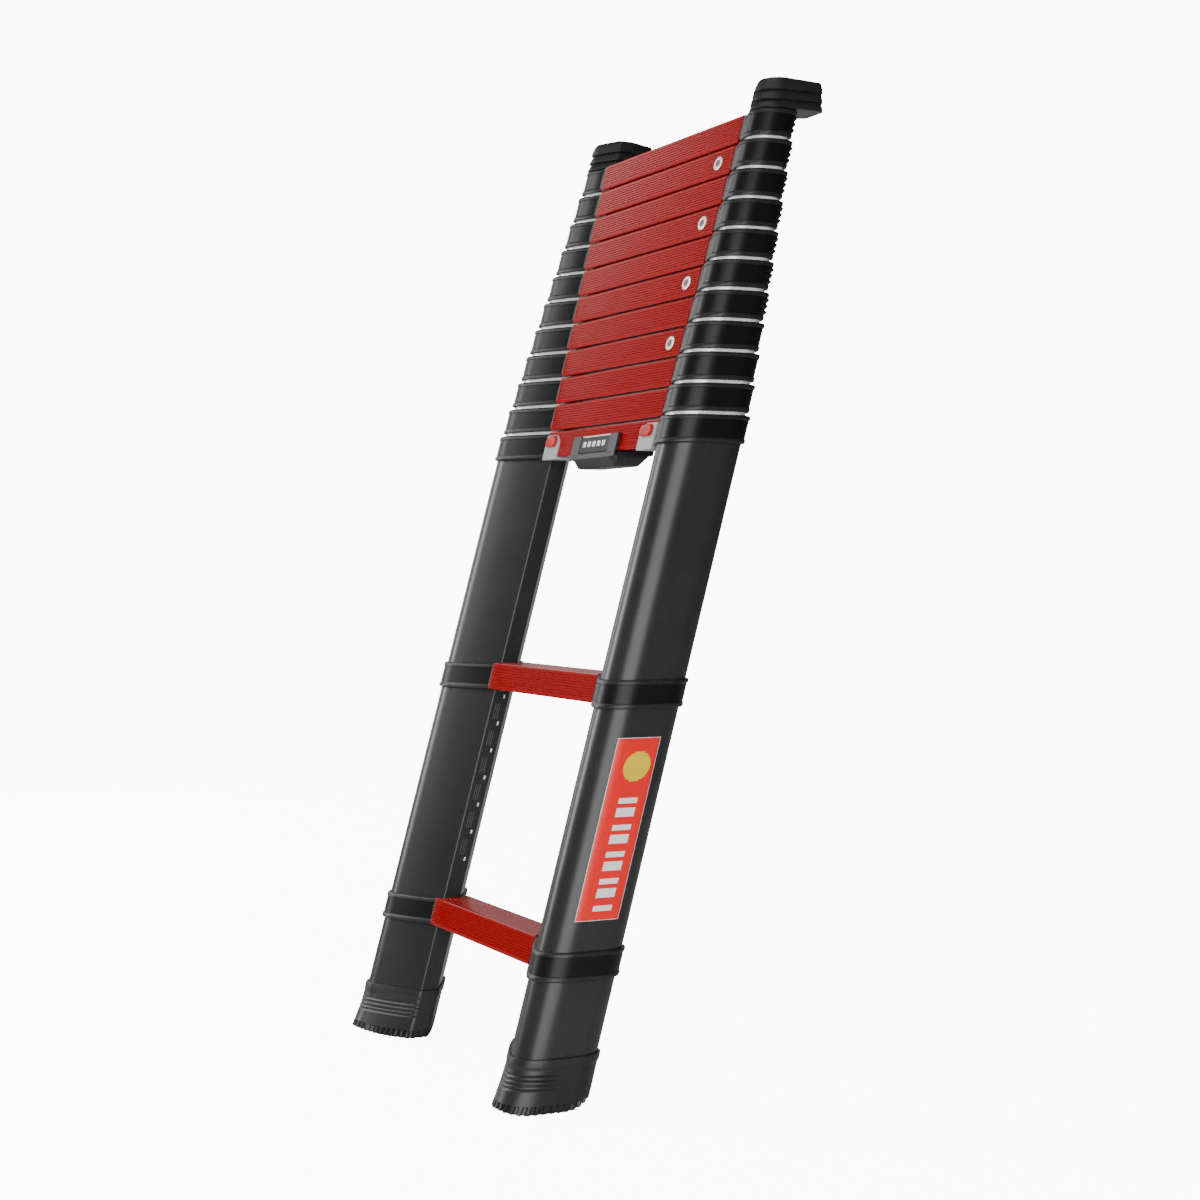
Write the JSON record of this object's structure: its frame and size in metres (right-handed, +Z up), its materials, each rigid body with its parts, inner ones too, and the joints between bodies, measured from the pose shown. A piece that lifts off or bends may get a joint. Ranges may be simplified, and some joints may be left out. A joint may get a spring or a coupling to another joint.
{
  "type": "telescoping ladder",
  "caption": "Telescoping extension ladder, closed and leaning: black tapered stiles, red ribbed rungs in a stack, wall rests and rubber feet.",
  "frame": {"origin": "on the ground, midway between the two stiles, where the stiles' middle plane meets the ground", "axes": "+X from the left stile to the right one, +Y back towards the wall that the ladder leans on, +Z up; the stiles lean back 15 degrees from +Z towards +Y"},
  "size_m": [0.5278, 0.4048, 1.1331],
  "materials": {
    "black_anodised": "satin black anodised",
    "silver_aluminium": "drawn, clear anodised",
    "black_plastic": "fine moulded grain",
    "red_anodised": "satin red anodised",
    "grey_casting": "moulded light grey",
    "red_plastic": "moulded red",
    "black_rubber": "moulded, matte",
    "steel": "turned"
  },
  "bodies": {
    "base": {"foot_left": "black_rubber", "stile_tube_left": "black_anodised", "collar_01_left": "black_plastic", "collar_02_left": "black_plastic", "collar_03_left": "black_plastic", "end_casting_left": "grey_casting", "foot_right": "black_rubber", "stile_tube_right": "black_anodised", "collar_01_right": "black_plastic", "collar_02_right": "black_plastic", "collar_03_right": "black_plastic", "end_casting_right": "grey_casting", "rung_01": "red_anodised", "rung_02": "red_anodised", "rung_03": "red_anodised", "carry_grip": "black_plastic", "grip_plate": "black_plastic"},
    "release_left": {"release_button_left": "red_plastic", "lock_pin_left": "steel"},
    "release_right": {"release_button_right": "red_plastic", "lock_pin_right": "steel"},
    "section_04": {"stile_04_left": "silver_aluminium", "stile_04_right": "silver_aluminium", "rung_04": "red_anodised"},
    "section_05": {"stile_05_left": "silver_aluminium", "stile_05_right": "silver_aluminium", "rung_05": "red_anodised"},
    "section_06": {"stile_06_left": "silver_aluminium", "stile_06_right": "silver_aluminium", "rung_06": "red_anodised"},
    "section_07": {"stile_07_left": "silver_aluminium", "stile_07_right": "silver_aluminium", "rung_07": "red_anodised"},
    "section_08": {"stile_08_left": "silver_aluminium", "stile_08_right": "silver_aluminium", "rung_08": "red_anodised"},
    "section_09": {"stile_09_left": "silver_aluminium", "stile_09_right": "silver_aluminium", "rung_09": "red_anodised"},
    "section_10": {"stile_10_left": "silver_aluminium", "stile_10_right": "silver_aluminium", "rung_10": "red_anodised"},
    "section_11": {"stile_11_left": "silver_aluminium", "stile_11_right": "silver_aluminium", "rung_11": "red_anodised"},
    "section_12": {"stile_12_left": "silver_aluminium", "stile_12_right": "silver_aluminium", "rung_12": "red_anodised"},
    "section_13": {"stile_13_left": "silver_aluminium", "stile_13_right": "silver_aluminium", "rung_13": "red_anodised", "wall_cap_left": "black_plastic", "wall_cap_right": "black_plastic"}
  },
  "joints": [
    {"name": "section_04_slide", "type": "slide", "parent": "base", "child": "section_04", "axis": [0, 0.2588, 0.9659], "range_m": [0, 0.264]},
    {"name": "section_05_slide", "type": "slide", "parent": "section_04", "child": "section_05", "axis": [0, 0.2588, 0.9659], "range_m": [0, 0.264]},
    {"name": "section_06_slide", "type": "slide", "parent": "section_05", "child": "section_06", "axis": [0, 0.2588, 0.9659], "range_m": [0, 0.264]},
    {"name": "section_07_slide", "type": "slide", "parent": "section_06", "child": "section_07", "axis": [0, 0.2588, 0.9659], "range_m": [0, 0.264]},
    {"name": "section_08_slide", "type": "slide", "parent": "section_07", "child": "section_08", "axis": [0, 0.2588, 0.9659], "range_m": [0, 0.264]},
    {"name": "section_09_slide", "type": "slide", "parent": "section_08", "child": "section_09", "axis": [0, 0.2588, 0.9659], "range_m": [0, 0.264]},
    {"name": "section_10_slide", "type": "slide", "parent": "section_09", "child": "section_10", "axis": [0, 0.2588, 0.9659], "range_m": [0, 0.264]},
    {"name": "section_11_slide", "type": "slide", "parent": "section_10", "child": "section_11", "axis": [0, 0.2588, 0.9659], "range_m": [0, 0.264]},
    {"name": "section_12_slide", "type": "slide", "parent": "section_11", "child": "section_12", "axis": [0, 0.2588, 0.9659], "range_m": [0, 0.264]},
    {"name": "section_13_slide", "type": "slide", "parent": "section_12", "child": "section_13", "axis": [0, 0.2588, 0.9659], "range_m": [0, 0.264]},
    {"name": "release_left_slide", "type": "slide", "parent": "base", "child": "release_left", "axis": [1, 0, 0], "range_m": [0, 0.008], "stiffness_N_per_m": 300, "springref_m": -0.005},
    {"name": "release_right_slide", "type": "slide", "parent": "base", "child": "release_right", "axis": [-1, 0, 0], "range_m": [0, 0.008], "stiffness_N_per_m": 300, "springref_m": -0.005}
  ]
}
